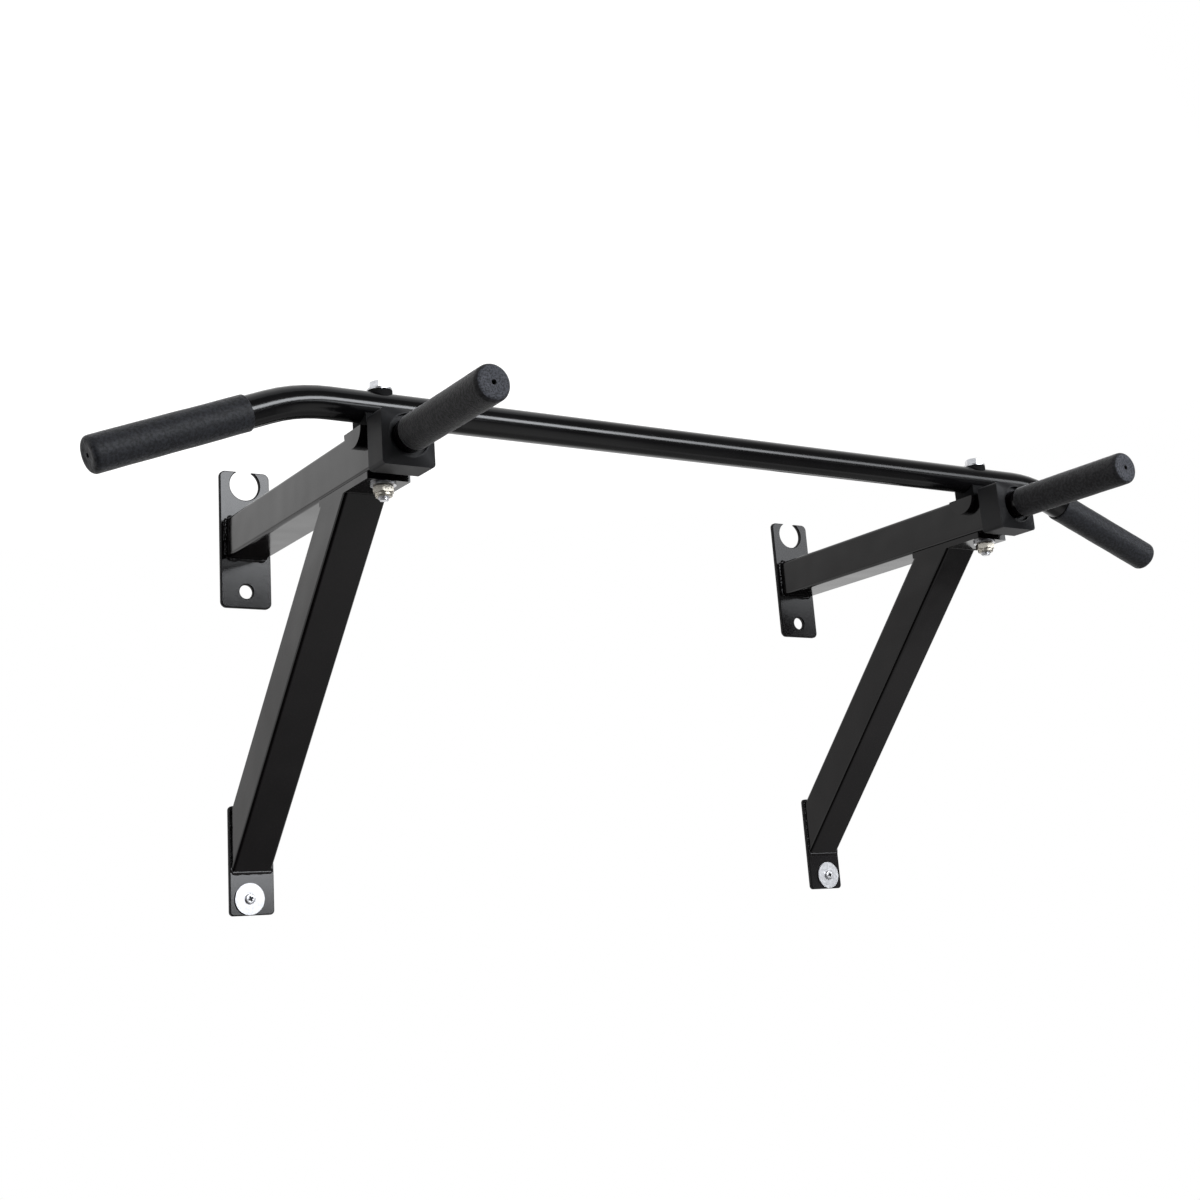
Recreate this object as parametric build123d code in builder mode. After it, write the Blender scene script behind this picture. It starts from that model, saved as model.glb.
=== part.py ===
"""Wall-mounted pull up bar with two braced arms, bent bar ends and forward handles.

Frame: millimetres, +X along the bar to the user's right when facing the wall,
+Y into the wall, +Z up. The origin lies on the wall plane, midway between the
two round mounting holes of the upper wall plates.
"""
import os
from math import cos, radians, sin, sqrt, tan

from build123d import *

# ---------------------------------------------------------------- arms
arm_spacing = 696.0        # centre line to centre line of the two arms
arm_side = 40.0            # square tube, outside
arm_wall = 2.0
arm_corner = 3.0           # outer corner radius of the square tube
arm_reach = 331.0          # wall plane to the open front end of the tube
arm_axis_z = 52.5          # tube centre above the round mounting holes

# ---------------------------------------------------------------- upper wall plates
upper_plate_w = 52.0
upper_plate_h = 138.0
upper_plate_t = 4.0
upper_plate_corner = 6.0
upper_hole_r = 7.0         # round hole at z = 0
notch_r = 15.5             # C-shaped hook-on notch
notch_drop = 13.5          # notch centre below the plate's top edge
plate_edge = 1.0           # chamfer round the plates' front faces

# ---------------------------------------------------------------- lower wall plates
lower_plate_w = 44.0
lower_plate_h = 101.0
lower_plate_t = 4.0
lower_plate_corner = 4.0
lower_plate_margin = 3.0   # plate above the brace's upper edge
lower_hole_r = 3.3
lower_hole_rise = 15.0     # hole centre above the plate's bottom edge
lower_hole_out = 3.0       # hole centre outward of the arm's centre line

# ---------------------------------------------------------------- braces
brace_side = 40.0          # square tube, outside
brace_wall = 2.0
brace_corner = 3.5
brace_angle = 47.2         # slope of the brace above the horizontal, degrees
brace_head_t = 6.0         # plate between brace and arm
brace_head_w = 40.0
brace_head_setback = 10.0  # plate's front end behind the arm's front end
brace_setback = 32.0       # clamp bolt axis to the brace's front face at its head
brace_head_corner = 1.0

# ---------------------------------------------------------------- bar
bar_d = 28.0
bar_wall = 2.0
bar_setback = 21.5         # bar's axis behind the arm's front end
bar_rise = 19.4            # bar axis above the arm's top face
bend_x = 424.0             # where the centre lines of the runs cross
bend_angle = 20.8          # droop of the ends, degrees
bend_r = 150.0
end_neck = 48.0            # crossing point to the grip's mouth, along the run

# ---------------------------------------------------------------- bar seat and clamp
seat_r = 16.0              # half-round steel seat let into the arm
seat_sink = 2.0            # flat of the seat below the arm's top face
seat_overhang = 7.0        # seat beyond each side of the arm
seat_clear = 0.15
pad_w = 26.0               # moulded pad between seat and bar
pad_len = 40.0
pad_lip = 5.0              # pad's lips above the bar's lowest line
pad_clear = 0.2
bolt_d = 10.0
bolt_hole_clear = 0.4      # radial
bolt_head_af = 16.0        # across flats
bolt_head_h = 6.4
bolt_tip = 3.0             # thread beyond the nut
bolt_tip_chamfer = 1.0
thread_clear = 0.1         # radial, nut on bolt
hex_chamfer = 0.6
nut_af = 17.0
nut_hex_h = 6.8
nut_collar_d = 15.2        # round collar of a self-locking nut, below its hexagon
nut_collar_h = 3.0
nut_collar_chamfer = 1.0
washer_d = 22.0
washer_t = 2.0
top_washer_t = 1.6
saddle_washer_d = 22.0     # black washer curved to the bar
saddle_washer_rise = 1.6   # its flat top above the bar
saddle_clear = 0.1

# ---------------------------------------------------------------- front caps
cap_w = 48.0
cap_h = 48.0
cap_len = 27.0
cap_corner = 3.5
cap_nose_len = 3.5         # square-to-round nose in front of the block
cap_nose_r = 19.2
cap_mouth_r = 18.2         # recess round the handle in the nose
cap_mouth_depth = 4.0
cap_plug_len = 3.5
cap_plug_clear = 0.3
cap_edge = 1.0

# ---------------------------------------------------------------- handles and grips
handle_d = 28.0
handle_wall = 2.0
handle_neck = 8.0          # bare tube between the cap's nose and the grip
handle_rise = 1.4          # handle axis above the arm's axis
grip_foam_t = 1.5          # foam on the tube, radial
grip_clear = 0.15
grip_end_t = 3.0           # closed end of the sleeve
grip_end_chamfer = 2.2
grip_vent_r = 2.0
handle_grip_len = 127.5
bar_grip_len = 134.0

# ---------------------------------------------------------------- wall screws
screw_head_d = 10.0
screw_head_h = 2.2
screw_head_chamfer = 1.0
screw_d = 5.5
screw_len = 34.0           # below the head
screw_tip_chamfer = 1.6
fender_washer_d = 29.0
fender_washer_t = 1.6
fender_washer_hole_r = 3.2

# ---------------------------------------------------------------- places that follow
arm_bottom = arm_axis_z - arm_side / 2
arm_top = arm_axis_z + arm_side / 2
seat_flat_z = arm_top - seat_sink
bar_z = arm_top + bar_rise
bar_reach = arm_reach - bar_setback
bar_r = bar_d / 2
head_bottom = arm_bottom - brace_head_t
brace_rise = tan(radians(brace_angle))
brace_head_front = arm_reach - brace_head_setback
brace_front_y = bar_reach - brace_setback
brace_rear_y = brace_front_y - brace_side / sin(radians(brace_angle))
brace_head_len = brace_head_front - brace_rear_y
lower_plate_top = head_bottom - (brace_rear_y - lower_plate_t) * brace_rise + lower_plate_margin
lower_plate_bottom = lower_plate_top - lower_plate_h
screw_z = lower_plate_bottom + lower_hole_rise
cap_front = arm_reach + cap_len
handle_end = cap_front + cap_nose_len + handle_neck + handle_grip_len
end_run = end_neck + bar_grip_len
bolt_hole_r = bolt_d / 2 + bolt_hole_clear
saddle_top = bar_z + bar_r + saddle_washer_rise
bolt_head_z = saddle_top + top_washer_t
nut_top = head_bottom - washer_t
nut_bottom = nut_top - nut_hex_h - nut_collar_h
sides = {"left": -1, "right": 1}


def wall_plane(y, z, x=0.0):
    """Sketch plane facing the user: local x along X, local y along Z."""
    return Plane(origin=(x, y, z), x_dir=(1, 0, 0), z_dir=(0, -1, 0))


def side_plane(x):
    """Sketch plane across the object: local x along Y, local y along Z."""
    return Plane(origin=(x, 0, 0), x_dir=(0, 1, 0), z_dir=(1, 0, 0))


# ================================================================ wall plates
def upper_wall_plate(x):
    with BuildPart() as plate:
        with BuildSketch(wall_plane(0, arm_axis_z, x)):
            RectangleRounded(upper_plate_w, upper_plate_h, upper_plate_corner)
            with Locations((0, upper_plate_h / 2 - notch_drop)):
                Circle(notch_r, mode=Mode.SUBTRACT)
            with Locations((0, -arm_axis_z)):
                Circle(upper_hole_r, mode=Mode.SUBTRACT)
        extrude(amount=upper_plate_t)
        chamfer(plate.faces().sort_by(Axis.Y)[0].edges(), plate_edge)
    return plate


def lower_wall_plate(x, hole_x):
    centre = (lower_plate_top + lower_plate_bottom) / 2
    with BuildPart() as plate:
        with BuildSketch(wall_plane(0, centre, x)):
            RectangleRounded(lower_plate_w, lower_plate_h, lower_plate_corner)
        extrude(amount=lower_plate_t)
        chamfer(plate.faces().sort_by(Axis.Y)[0].edges(), plate_edge)
        with BuildSketch(wall_plane(0, screw_z, hole_x)):
            Circle(lower_hole_r)
        extrude(amount=lower_plate_t, mode=Mode.SUBTRACT)
    return plate


# ================================================================ arms
def arm_tube(x):
    length = arm_reach - upper_plate_t
    seat_hw = seat_r + seat_clear
    with BuildPart() as tube:
        with BuildSketch(wall_plane(-upper_plate_t, arm_axis_z, x)):
            RectangleRounded(arm_side, arm_side, arm_corner)
            RectangleRounded(arm_side - 2 * arm_wall, arm_side - 2 * arm_wall,
                             max(arm_corner - arm_wall, 0.4), mode=Mode.SUBTRACT)
        extrude(amount=length)
        # open half-round pocket across the tube for the bar's seat
        with BuildSketch(side_plane(x)):
            with Locations((-bar_reach, seat_flat_z)):
                Circle(seat_hw)
            with Locations((-bar_reach, seat_flat_z + arm_side / 2)):
                Rectangle(2 * seat_hw, arm_side)
        extrude(amount=arm_side, both=True, mode=Mode.SUBTRACT)
        with BuildSketch(Plane.XY.offset(arm_bottom)):
            with Locations((x, -bar_reach)):
                Circle(bolt_hole_r)
        extrude(amount=2 * arm_wall, mode=Mode.SUBTRACT)
    return tube


# ================================================================ braces
def brace_head_plate(x):
    mid_y = -(brace_head_front - brace_head_len / 2)
    with BuildPart() as plate:
        with BuildSketch(Plane.XY.offset(head_bottom)):
            with Locations((x, mid_y)):
                RectangleRounded(brace_head_w, brace_head_len, brace_head_corner)
            with Locations((x, -bar_reach)):
                Circle(bolt_hole_r, mode=Mode.SUBTRACT)
        extrude(amount=brace_head_t)
    return plate


def brace_profile(inset, overrun):
    """Side view of the brace, cut level at its head and upright at the wall."""
    rear = brace_rear_y + inset / sin(radians(brace_angle))
    front = brace_front_y - inset / sin(radians(brace_angle))
    top_z = head_bottom + overrun
    foot_y = lower_plate_t - overrun
    up = overrun / brace_rise
    return [
        (-rear - up, top_z),
        (-front - up, top_z),
        (-foot_y, head_bottom - (front - foot_y) * brace_rise),
        (-foot_y, head_bottom - (rear - foot_y) * brace_rise),
    ]


def brace_tube(x):
    with BuildPart() as tube:
        with BuildSketch(side_plane(x)):
            Polygon(*brace_profile(0, 0), align=None)
        extrude(amount=brace_side / 2, both=True)
        slope = Vector(0, cos(radians(brace_angle)), -sin(radians(brace_angle)))
        long_edges = [e for e in tube.edges().filter_by(GeomType.LINE)
                      if abs(e.tangent_at(0.5).dot(slope)) > 0.999]
        fillet(long_edges, brace_corner)
        with BuildSketch(side_plane(x)):
            Polygon(*brace_profile(brace_wall, 20), align=None)
        extrude(amount=brace_side / 2 - brace_wall, both=True, mode=Mode.SUBTRACT)
    return tube


# ================================================================ bar
def bar_path():
    """Corners of the bar's centre line, from the left tip to the right tip."""
    a = radians(bend_angle)
    tips = [(k * (bend_x + end_run * cos(a)), -bar_reach, bar_z - end_run * sin(a)) for k in (-1, 1)]
    knees = [(k * bend_x, -bar_reach, bar_z) for k in (-1, 1)]
    return tips[0], knees[0], knees[1], tips[1]


def pull_bar():
    a = radians(bend_angle)
    with BuildPart() as bar:
        with BuildLine():
            FilletPolyline(*bar_path(), radius=bend_r)
        start = bar_path()[0]
        with BuildSketch(Plane(origin=start, z_dir=(cos(a), 0, sin(a)))):
            Circle(bar_r)
            Circle(bar_r - bar_wall, mode=Mode.SUBTRACT)
        sweep()
        with BuildSketch(Plane.XY.offset(bar_z - bar_d)):
            with Locations(*[(s * arm_spacing / 2, -bar_reach) for s in sides.values()]):
                Circle(bolt_hole_r)
        extrude(amount=2 * bar_d, mode=Mode.SUBTRACT)
    return bar


# ================================================================ bar seat and pad
def bar_seat(x):
    half = arm_side / 2 + seat_overhang
    with BuildPart() as seat:
        with BuildSketch(side_plane(x)):
            with Locations((-bar_reach, seat_flat_z)):
                Circle(seat_r)
            with Locations((-bar_reach, seat_flat_z + seat_r)):
                Rectangle(3 * seat_r, 2 * seat_r, mode=Mode.SUBTRACT)
        extrude(amount=half, both=True)
        with BuildSketch(Plane.XY.offset(seat_flat_z - seat_r)):
            with Locations((x, -bar_reach)):
                Circle(bolt_hole_r)
        extrude(amount=2 * seat_r, mode=Mode.SUBTRACT)
    return seat


def saddle_pad(x):
    top = bar_z - bar_r + pad_lip
    with BuildPart() as pad:
        with BuildSketch(Plane.XY.offset(seat_flat_z)):
            with Locations((x, -bar_reach)):
                Rectangle(pad_len, pad_w)
                Circle(bolt_hole_r, mode=Mode.SUBTRACT)
        extrude(amount=top - seat_flat_z)
        with BuildSketch(side_plane(x)):
            with Locations((-bar_reach, bar_z)):
                Circle(bar_r + pad_clear)
        extrude(amount=pad_len, both=True, mode=Mode.SUBTRACT)
    return pad


# ================================================================ clamp bolt set
def saddle_washer(x):
    with BuildPart() as washer:
        with BuildSketch(Plane.XY.offset(bar_z)):
            with Locations((x, -bar_reach)):
                Circle(saddle_washer_d / 2)
                Circle(bolt_hole_r, mode=Mode.SUBTRACT)
        extrude(amount=saddle_top - bar_z)
        with BuildSketch(side_plane(x)):
            with Locations((-bar_reach, bar_z)):
                Circle(bar_r + saddle_clear)
        extrude(amount=saddle_washer_d, both=True, mode=Mode.SUBTRACT)
    return washer


def flat_washer(x, z, thickness):
    with BuildPart() as washer:
        with BuildSketch(Plane.XY.offset(z)):
            with Locations((x, -bar_reach)):
                Circle(washer_d / 2)
                Circle(bolt_hole_r, mode=Mode.SUBTRACT)
        extrude(amount=thickness)
    return washer


def clamp_bolt(x):
    tip_z = nut_bottom - bolt_tip
    corner_r = bolt_head_af / sqrt(3)
    with BuildPart() as bolt:
        with BuildSketch(Plane.XY.offset(bolt_head_z)):
            with Locations((x, -bar_reach)):
                RegularPolygon(corner_r, 6)
        extrude(amount=bolt_head_h)
        chamfer(bolt.faces().sort_by(Axis.Z)[-1].edges(), hex_chamfer)
        with BuildSketch(Plane.XY.offset(tip_z)):
            with Locations((x, -bar_reach)):
                Circle(bolt_d / 2)
        extrude(amount=bolt_head_z - tip_z)
        chamfer(bolt.faces().sort_by(Axis.Z)[0].edges(), bolt_tip_chamfer)
    return bolt


def clamp_nut(x):
    with BuildPart() as nut:
        with BuildSketch(Plane.XY.offset(nut_top - nut_hex_h)):
            with Locations((x, -bar_reach)):
                RegularPolygon(nut_af / sqrt(3), 6)
        extrude(amount=nut_hex_h)
        ends = nut.faces().sort_by(Axis.Z)
        chamfer(ends[0].edges() + ends[-1].edges(), hex_chamfer)
        with BuildSketch(Plane.XY.offset(nut_bottom)):
            with Locations((x, -bar_reach)):
                Circle(nut_collar_d / 2)
        extrude(amount=nut_collar_h)
        chamfer(nut.faces().sort_by(Axis.Z)[0].edges(), min(nut_collar_chamfer, nut_collar_h / 2))
        with BuildSketch(Plane.XY.offset(nut_bottom)):
            with Locations((x, -bar_reach)):
                Circle(bolt_d / 2 + thread_clear)
        extrude(amount=nut_top - nut_bottom, mode=Mode.SUBTRACT)
    return nut


# ================================================================ front caps
def front_cap(x):
    hole_r = handle_d / 2 + cap_plug_clear
    plug = arm_side - 2 * arm_wall - 2 * cap_plug_clear
    with BuildPart() as cap:
        with BuildSketch(wall_plane(-arm_reach, arm_axis_z, x)):
            RectangleRounded(cap_w, cap_h, cap_corner)
        extrude(amount=cap_len)
        chamfer(cap.faces().sort_by(Axis.Y)[-1].edges(), cap_edge)
        with BuildSketch(wall_plane(-cap_front, arm_axis_z, x)):
            RectangleRounded(cap_w, cap_h, cap_corner)
        with BuildSketch(wall_plane(-cap_front - cap_nose_len, arm_axis_z + handle_rise, x)):
            Circle(cap_nose_r)
        loft()
        with BuildSketch(wall_plane(-arm_reach + cap_plug_len, arm_axis_z, x)):
            RectangleRounded(plug, plug, max(arm_corner - arm_wall - cap_plug_clear, 0.4))
        extrude(amount=cap_plug_len)
        with BuildSketch(wall_plane(-arm_reach + cap_plug_len, arm_axis_z + handle_rise, x)):
            Circle(hole_r)
        extrude(amount=cap_plug_len + cap_len + cap_nose_len, mode=Mode.SUBTRACT)
        mouth_y = -cap_front - cap_nose_len + cap_mouth_depth
        with BuildSketch(wall_plane(mouth_y, arm_axis_z + handle_rise, x)):
            Circle(cap_mouth_r)
        extrude(amount=cap_mouth_depth, mode=Mode.SUBTRACT)
    return cap


# ================================================================ handles and grips
def handle_tube(x):
    start = arm_reach - cap_plug_len
    with BuildPart() as tube:
        with BuildSketch(wall_plane(-start, arm_axis_z + handle_rise, x)):
            Circle(handle_d / 2)
            Circle(handle_d / 2 - handle_wall, mode=Mode.SUBTRACT)
        extrude(amount=handle_end - start)
    return tube


def grip_sleeve(mouth, tube_d, length):
    """Foam sleeve with a vented, closed end; mouth is the plane of its open end."""
    inner = tube_d / 2 + grip_clear
    outer = tube_d / 2 + grip_foam_t
    with BuildPart() as grip:
        with BuildSketch(mouth):
            Circle(outer)
        extrude(amount=length + grip_end_t)
        along = Axis(mouth.origin, mouth.z_dir)
        end = grip.faces().sort_by(along)[-1]
        chamfer(end.edges(), grip_end_chamfer)
        with BuildSketch(mouth):
            Circle(inner)
        extrude(amount=length + grip_clear, mode=Mode.SUBTRACT)
        with BuildSketch(mouth):
            Circle(grip_vent_r)
        extrude(amount=length + 2 * grip_end_t, mode=Mode.SUBTRACT)
    return grip


def handle_grip(x):
    mouth = wall_plane(-handle_end + handle_grip_len, arm_axis_z + handle_rise, x)
    return grip_sleeve(mouth, handle_d, handle_grip_len)


def bar_grip(s):
    a = radians(bend_angle)
    out = Vector(s * cos(a), 0, -sin(a))
    knee = Vector(s * bend_x, -bar_reach, bar_z)
    start = knee + out * (end_run - bar_grip_len)
    return grip_sleeve(Plane(origin=start, x_dir=(0, 1, 0), z_dir=out), bar_d, bar_grip_len)


# ================================================================ wall screws
def fender_washer(x):
    with BuildPart() as washer:
        with BuildSketch(wall_plane(-lower_plate_t, screw_z, x)):
            Circle(fender_washer_d / 2)
            Circle(fender_washer_hole_r, mode=Mode.SUBTRACT)
        extrude(amount=fender_washer_t)
    return washer


def wall_screw(x):
    seat_y = lower_plate_t + fender_washer_t
    with BuildPart() as screw:
        with BuildSketch(wall_plane(-seat_y, screw_z, x)):
            Circle(screw_head_d / 2)
        extrude(amount=screw_head_h)
        chamfer(screw.faces().sort_by(Axis.Y)[0].edges(), screw_head_chamfer)
        with BuildSketch(wall_plane(-seat_y, screw_z, x)):
            Circle(screw_d / 2)
        extrude(amount=-screw_len)
        chamfer(screw.faces().sort_by(Axis.Y)[-1].edges(), screw_tip_chamfer)
    return screw


# ================================================================ build and export
os.makedirs("parts", exist_ok=True)

pull_bar_part = pull_bar()
pull_bar_part.part.label = "pull_bar"
export_step(pull_bar_part.part, "parts/pull_bar.step")

for side, s in sides.items():
    x = s * arm_spacing / 2
    screw_x = x + s * lower_hole_out
    pieces = {
        "upper_wall_plate": upper_wall_plate(x),
        "lower_wall_plate": lower_wall_plate(x, screw_x),
        "arm_tube": arm_tube(x),
        "brace_head_plate": brace_head_plate(x),
        "brace_tube": brace_tube(x),
        "bar_seat": bar_seat(x),
        "saddle_pad": saddle_pad(x),
        "saddle_washer": saddle_washer(x),
        "top_washer": flat_washer(x, saddle_top, top_washer_t),
        "clamp_bolt": clamp_bolt(x),
        "nut_washer": flat_washer(x, nut_top, washer_t),
        "clamp_nut": clamp_nut(x),
        "front_cap": front_cap(x),
        "handle_tube": handle_tube(x),
        "handle_grip": handle_grip(x),
        "bar_grip": bar_grip(s),
        "fender_washer": fender_washer(screw_x),
        "wall_screw": wall_screw(screw_x),
    }
    for name, piece in pieces.items():
        piece.part.label = f"{name}_{side}"
        export_step(piece.part, f"parts/{name}_{side}.step")
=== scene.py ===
"""Wall-mounted pull up bar: finishes, foam grips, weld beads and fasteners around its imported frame."""

import math

import bmesh
import bpy
from bpy.props import FloatProperty, FloatVectorProperty, IntProperty, PointerProperty
from mathutils import Matrix, Vector, noise


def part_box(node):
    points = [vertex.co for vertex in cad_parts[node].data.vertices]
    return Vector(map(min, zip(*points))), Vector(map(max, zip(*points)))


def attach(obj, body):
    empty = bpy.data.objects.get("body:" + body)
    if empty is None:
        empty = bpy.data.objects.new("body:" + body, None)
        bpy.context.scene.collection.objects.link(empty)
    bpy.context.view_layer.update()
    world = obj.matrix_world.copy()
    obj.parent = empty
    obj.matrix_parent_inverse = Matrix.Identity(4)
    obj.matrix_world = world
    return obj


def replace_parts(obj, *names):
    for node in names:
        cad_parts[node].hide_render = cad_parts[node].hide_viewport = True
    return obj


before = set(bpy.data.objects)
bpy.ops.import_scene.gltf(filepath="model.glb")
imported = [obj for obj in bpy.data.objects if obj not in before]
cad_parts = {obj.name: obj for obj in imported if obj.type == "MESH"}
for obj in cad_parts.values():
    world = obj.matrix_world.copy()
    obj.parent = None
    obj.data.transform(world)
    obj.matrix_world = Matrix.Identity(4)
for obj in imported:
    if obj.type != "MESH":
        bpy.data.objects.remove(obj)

bl_info = {
    "name": "Pull Up Bar",
    "version": (1, 0),
    "blender": (4, 5, 0),
    "location": "View3D > Sidebar > Pull Up Bar",
    "description": "Dresses a wall-mounted pull up bar with paint, foam, zinc and weld beads",
    "category": "Add Mesh",
}

SIDES = ("left", "right")
BODY = "root"
MM = 0.001
WHITE = (1, 1, 1, 1)
OVERLAP = 1 * MM  # how far one closed shell of a fastener runs into the next


# ---------------------------------------------------------------- settings


def length(name, text, millimetres):
    """A length property, kept in metres and given here in millimetres."""
    return FloatProperty(
        name=name, description=text, default=millimetres * MM, min=0, precision=5,
        subtype="DISTANCE", unit="LENGTH",
    )


def colour(name, text, red, green, blue):
    """A plain colour property without alpha."""
    return FloatVectorProperty(
        name=name, description=text, default=(red, green, blue), min=0, max=1, subtype="COLOR",
    )


def share(name, text, value):
    """A property from 0 to 1."""
    return FloatProperty(name=name, description=text, default=value, min=0, max=1, subtype="FACTOR")


def angle(name, text, degrees):
    """An angle property, kept in radians and given here in degrees."""
    return FloatProperty(
        name=name, description=text, default=math.radians(degrees), subtype="ANGLE", unit="ROTATION",
    )


class PaintSettings(bpy.types.PropertyGroup):
    """Black powder coat on the arms, braces, plates and seats, and the smoother coat on the bar."""

    steel: colour("Steel coat", "Colour of the powder coat on the frames", 0.0052, 0.0040, 0.0044)
    steel_gloss: share("Steel roughness", "Roughness of the powder coat on the frames", 0.14)
    weld_gloss: share("Weld roughness", "Roughness of the powder coat on the weld beads", 0.2)
    bar: colour("Bar coat", "Colour of the glossier coat on the bar", 0.0045, 0.0042, 0.0047)
    bar_gloss: share("Bar roughness", "Roughness of the coat on the bar", 0.15)
    peel: length("Orange peel", "Width of one ripple in the coat", 2.6)
    peel_depth: length("Peel depth", "Height of the ripples in the coat", 0.006)
    grain: length("Powder grain", "Width of one grain of the powder", 0.5)
    cloud: length("Cloud", "Width of one cloudy patch in the coat's tone", 50)
    haze: length("Haze", "Width of one hazy patch in the coat's gloss", 12)
    wave: length("Wave", "Width of one broad wave in the drawn tube", 50)
    wave_height: length("Wave height", "Height of the broad waves in the drawn tube", 0.8)
    edge: share("Edge roughness", "Roughness added on the plates' cut edges", 0.5)
    upper_lean: angle("Upper plate lean", "How far weld heat tips both upper plates' shading", 4.0)
    lower_lean: angle("Lower plate lean", "How far weld heat tips the left lower plate's shading", -4.3)


class FoamSettings(bpy.types.PropertyGroup):
    """Closed foam sleeves on the two handles and on the bar's bent ends."""

    skin: colour("Foam skin", "Colour of the handles' foam", 0.0135, 0.0129, 0.0150)
    end: colour("Foam end", "Colour of the handles' foam at its closed end", 0.047, 0.049, 0.058)
    bar_skin: colour("Bar foam skin", "Colour of the smoother foam on the bar", 0.0120, 0.0128, 0.0162)
    bar_end: colour("Bar foam end", "Colour of the bar's foam at its closed end", 0.026, 0.027, 0.032)
    gloss: share("Foam roughness", "Roughness of the handles' foam, and of both foams' ends", 0.68)
    bar_gloss: share("Bar foam roughness", "Roughness of the smoother foam on the bar", 0.62)
    pore: length("Pore", "Width of one pore in the foam's skin", 1.1)
    pore_depth: length("Pore depth", "Depth of one pore in the foam's skin", 0.22)
    clearance: length("Clearance", "Gap between the sleeve and its tube", 0.15)
    end_wall: length("End wall", "Thickness of the closed end", 2.9)
    end_sink: length("End sink", "How far the middle of the closed end lies below its rim", 0.3)
    rim: length("Rim radius", "Rounding at the closed end", 4.5)
    mouth: length("Mouth radius", "Rounding at the open end", 0.7)
    vent: length("Vent radius", "Radius of the air hole in the closed end", 2.0)
    wander: length("Unevenness", "How far the foam's surface wanders from a true cylinder", 0.18)


class TrimSettings(bpy.types.PropertyGroup):
    """Moulded front caps and the rubber saddles under the bar."""

    cap: colour("Cap plastic", "Colour of the moulded caps", 0.008, 0.008, 0.0098)
    cap_gloss: share("Cap roughness", "Roughness of the moulded caps", 0.55)
    texture: length("Mould texture", "Width of one grain of the mould's texture", 0.7)
    rubber: colour("Rubber", "Colour of the saddle pads", 0.003, 0.003, 0.0035)


class ZincSettings(bpy.types.PropertyGroup):
    """Bright zinc bolts, nuts, washers and screws."""

    zinc: colour("Zinc", "Colour of the plating", 0.80, 0.80, 0.82)
    nut: colour("Nut plating", "Colour of the yellower plating on the lock nuts", 0.66, 0.62, 0.54)
    zinc_gloss: share("Zinc roughness", "Roughness of the plating", 0.3)
    # Painted shade: the darker plating colour down in the screws' cross recess stands in for the shade that
    # falls there.
    recess_shade: colour("Recess", "Colour of the plating down in the screws' recess", 0.12, 0.12, 0.125)
    bolt_head: length("Bolt head", "Height of the clamp bolts' heads", 6.4)
    bolt_radius: length("Bolt radius", "Radius of the clamp bolts' shank and of their thread's crest", 4.95)
    bolt_thread: length("Bolt thread", "Threaded length of the clamp bolts", 24)
    pitch: length("Bolt pitch", "Pitch of the clamp bolts' thread", 1.5)
    thread_depth: length("Thread depth", "Depth of the clamp bolts' thread", 0.9)
    screw_radius: length("Screw radius", "Radius of the crest of the wall screws' thread", 2.7)
    screw_neck: length("Screw neck", "Plain length under the wall screws' heads", 4)
    screw_neck_radius: length("Neck radius", "Radius of the plain length under the heads", 2.2)
    screw_tip: length("Screw tip", "Length of the wall screws' tapered tips", 7)
    screw_pitch: length("Screw pitch", "Pitch of the wall screws' thread", 2.6)
    screw_depth: length("Screw thread depth", "Depth of the wall screws' thread", 0.75)
    screw_turn: angle("Screw turn", "How far the cross recess is turned from upright", 24)
    recess: length("Recess", "Length of one arm of the cross recess", 2.5)
    recess_width: length("Recess width", "Width of one arm of the cross recess", 1.3)
    recess_depth: length("Recess depth", "Depth of the cross recess", 2.0)


class WeldSettings(bpy.types.PropertyGroup):
    """Weld beads under the paint, where the tubes meet their plates."""

    bead: length("Bead reach", "How far a bead at the arm's root spreads over the plate", 2.8)
    foot_bead: length("Foot bead reach", "How far a bead at the brace's ends spreads", 2.0)
    tack: length("Tack end", "Distance from the arm's corner to the inner end of a tack over its top", 10)
    rise: share("Rise", "How far a bead climbs the tube, as a share of its reach", 0.4)
    ripple: length("Ripple pitch", "Distance between two ripples of a bead", 2.8)
    swell: share("Swell", "How much a bead's reach changes within one ripple", 0.14)
    sections: IntProperty(name="Sections", description="Sections in one ripple", default=5, min=3)


class StageSettings(bpy.types.PropertyGroup):
    """Floor, lights and camera."""

    floor_drop: FloatProperty(
        name="Floor drop", description="Height of the wall plates above the floor", default=1.75,
        subtype="DISTANCE", unit="LENGTH",
    )
    camera_place: FloatVectorProperty(
        name="Camera place", description="Where the camera stands", default=(-0.9598, -1.5284, -0.3601),
        subtype="TRANSLATION", unit="LENGTH",
    )
    camera_turn: angle("Camera turn", "How far the camera looks from straight at the wall to the right", 32.1)
    camera_rise: angle("Camera rise", "How far the camera looks up", 15.0)
    camera_roll: angle("Camera roll", "How far the camera leans", 3.75)
    lens: FloatProperty(name="Lens", description="Focal length in millimetres", default=50.81)
    shift: FloatVectorProperty(name="Shift", description="Camera shift", size=2, default=(0.05, -0.08333))


class PullUpBarSettings(bpy.types.PropertyGroup):
    """Every size and colour of the dressed pull up bar."""

    paint: PointerProperty(type=PaintSettings)
    foam: PointerProperty(type=FoamSettings)
    trim: PointerProperty(type=TrimSettings)
    zinc: PointerProperty(type=ZincSettings)
    weld: PointerProperty(type=WeldSettings)
    stage: PointerProperty(type=StageSettings)


def chosen(context):
    """The settings in use."""
    return context.scene.pull_up_bar


# ---------------------------------------------------------------- shader graph


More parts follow.
